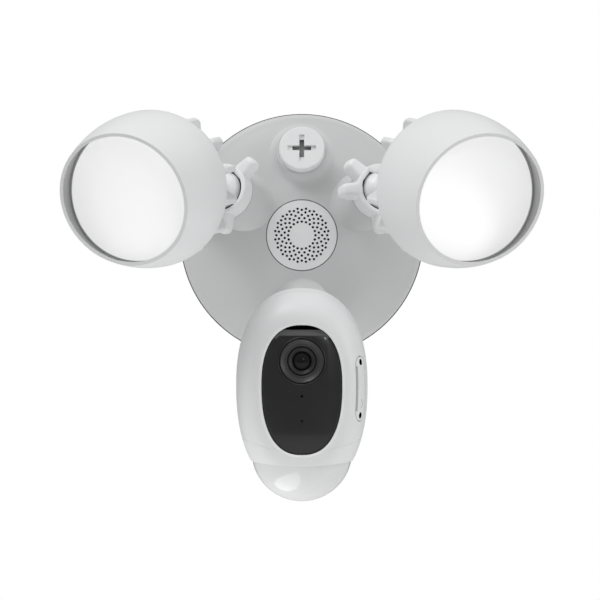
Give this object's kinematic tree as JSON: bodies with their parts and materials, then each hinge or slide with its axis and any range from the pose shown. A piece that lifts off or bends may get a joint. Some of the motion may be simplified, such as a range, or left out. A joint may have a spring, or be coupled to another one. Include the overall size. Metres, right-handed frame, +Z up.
{
  "type": "floodlight security camera",
  "caption": "Wall-mounted security camera with round floodlights on ball joints, a siren in a domed base and an egg-shaped camera with a motion sensor dome.",
  "frame": {"origin": "centre of the round base on the wall plane, at the bracket's back face", "axes": "+Y into the wall, -Y out of it towards the viewer, +X to the viewer's right along the line of the two lamps, +Z up"},
  "size_m": [0.2654, 0.2027, 0.2197],
  "materials": {
    "shell_white": "satin, fine moulded grain",
    "lamp_paint": "die-cast and powder-coated light grey, satin",
    "gasket_foam": "matt",
    "bracket_steel": "zinc-plated",
    "dark_plastic": "matt",
    "circuit_board": "green solder mask",
    "lamp_diffuser": "opal, lit from behind",
    "reflector_white": "glossy white",
    "led_phosphor": "yellow phosphor under clear resin",
    "face_black": "smooth semi-gloss",
    "bezel_grey": "satin with turned rings",
    "lens_glass": "coated, polished",
    "status_window": "smoked clear",
    "sensor_dome": "frosted, smooth"
  },
  "bodies": {
    "base": {"wall_gasket": "gasket_foam", "mounting_bracket": "bracket_steel", "mounting_bolt": "bracket_steel", "back_plate": "shell_white", "back_plate_screws": "bracket_steel", "base_housing": "shell_white", "siren_grille": "shell_white", "siren_speaker": "dark_plastic", "power_board": "circuit_board", "power_parts": "dark_plastic", "terminal_block": "dark_plastic", "socket_screws": "bracket_steel", "left_socket": "shell_white", "right_socket": "shell_white", "camera_socket": "shell_white"},
    "cap": {"cap_screw": "shell_white"},
    "left_nut": {"left_lock_nut": "shell_white"},
    "right_nut": {"right_lock_nut": "shell_white"},
    "camera_nut": {"camera_lock_nut": "shell_white"},
    "left_clamp": {"left_clamp_ring": "dark_plastic"},
    "right_clamp": {"right_clamp_ring": "dark_plastic"},
    "camera_clamp": {"camera_clamp_ring": "dark_plastic"},
    "left_lamp": {"left_lamp_neck": "lamp_paint", "left_heat_sink": "lamp_paint", "left_lamp_housing": "lamp_paint", "left_lamp_lens": "lamp_diffuser", "left_lens_seal": "gasket_foam", "left_reflector": "reflector_white", "left_led_board": "reflector_white", "left_led_chips": "led_phosphor", "left_lamp_screws": "bracket_steel"},
    "right_lamp": {"right_lamp_neck": "lamp_paint", "right_heat_sink": "lamp_paint", "right_lamp_housing": "lamp_paint", "right_lamp_lens": "lamp_diffuser", "right_lens_seal": "gasket_foam", "right_reflector": "reflector_white", "right_led_board": "reflector_white", "right_led_chips": "led_phosphor", "right_lamp_screws": "bracket_steel"},
    "camera": {"camera_neck": "shell_white", "camera_rear_shell": "shell_white", "camera_front_shell": "shell_white", "sensor_collar": "shell_white", "face_panel": "face_black", "lens_bezel": "bezel_grey", "lens_barrel": "dark_plastic", "lens_glass": "lens_glass", "image_sensor_board": "circuit_board", "main_board": "circuit_board", "card_socket": "bracket_steel", "status_light": "status_window", "button_spring": "bracket_steel", "motion_dome": "sensor_dome", "motion_sensor": "circuit_board", "shell_screws": "bracket_steel"},
    "hatch": {"hatch_cover": "shell_white", "hatch_screws": "bracket_steel"},
    "reset": {"reset_button": "shell_white"}
  },
  "joints": [
    {"name": "cap_turn", "type": "hinge", "parent": "base", "child": "cap", "pos_m": [0, -0.02097, 0.047], "axis": [0, -0.9432, 0.3322], "range_deg": [0, 90]},
    {"name": "left_nut_turn", "type": "hinge", "parent": "base", "child": "left_nut", "pos_m": [-0.04352, -0.03624, 0.02482], "axis": [-0.4343, -0.866, 0.2477], "range_deg": [0, 60]},
    {"name": "right_nut_turn", "type": "hinge", "parent": "base", "child": "right_nut", "pos_m": [0.04352, -0.03624, 0.02482], "axis": [0.4343, -0.866, 0.2477], "range_deg": [0, 60]},
    {"name": "camera_nut_turn", "type": "hinge", "parent": "base", "child": "camera_nut", "pos_m": [0, -0.03534, -0.0529], "axis": [0, -0.866, -0.5], "range_deg": [0, 60]},
    {"name": "left_swivel", "type": "hinge", "parent": "base", "child": "left_clamp", "pos_m": [-0.04352, -0.03624, 0.02482], "axis": [-0.4343, -0.866, 0.2477], "range_deg": [-35, 60]},
    {"name": "left_tilt", "type": "hinge", "parent": "left_clamp", "child": "left_lamp", "pos_m": [-0.04352, -0.03624, 0.02482], "axis": [0.8939, -0.4483, 0], "range_deg": [-40, 15]},
    {"name": "right_swivel", "type": "hinge", "parent": "base", "child": "right_clamp", "pos_m": [0.04352, -0.03624, 0.02482], "axis": [0.4343, -0.866, 0.2477], "range_deg": [-60, 35]},
    {"name": "right_tilt", "type": "hinge", "parent": "right_clamp", "child": "right_lamp", "pos_m": [0.04352, -0.03624, 0.02482], "axis": [0.8939, 0.4483, 0], "range_deg": [-40, 15]},
    {"name": "camera_swivel", "type": "hinge", "parent": "base", "child": "camera_clamp", "pos_m": [0, -0.03534, -0.0529], "axis": [0, -0.866, -0.5], "range_deg": [-25, 25]},
    {"name": "camera_tilt", "type": "hinge", "parent": "camera_clamp", "child": "camera", "pos_m": [0, -0.03534, -0.0529], "axis": [1, 0, 0], "range_deg": [-12, 20]},
    {"name": "hatch_pull", "type": "slide", "parent": "camera", "child": "hatch", "axis": [0.9011, -0.4336, 0], "range_m": [0, 0.012]},
    {"name": "reset_press", "type": "slide", "parent": "camera", "child": "reset", "axis": [-0.9011, 0.4336, 0], "range_m": [0, 0.001], "stiffness_N_per_m": 400, "springref_m": -0.001}
  ]
}
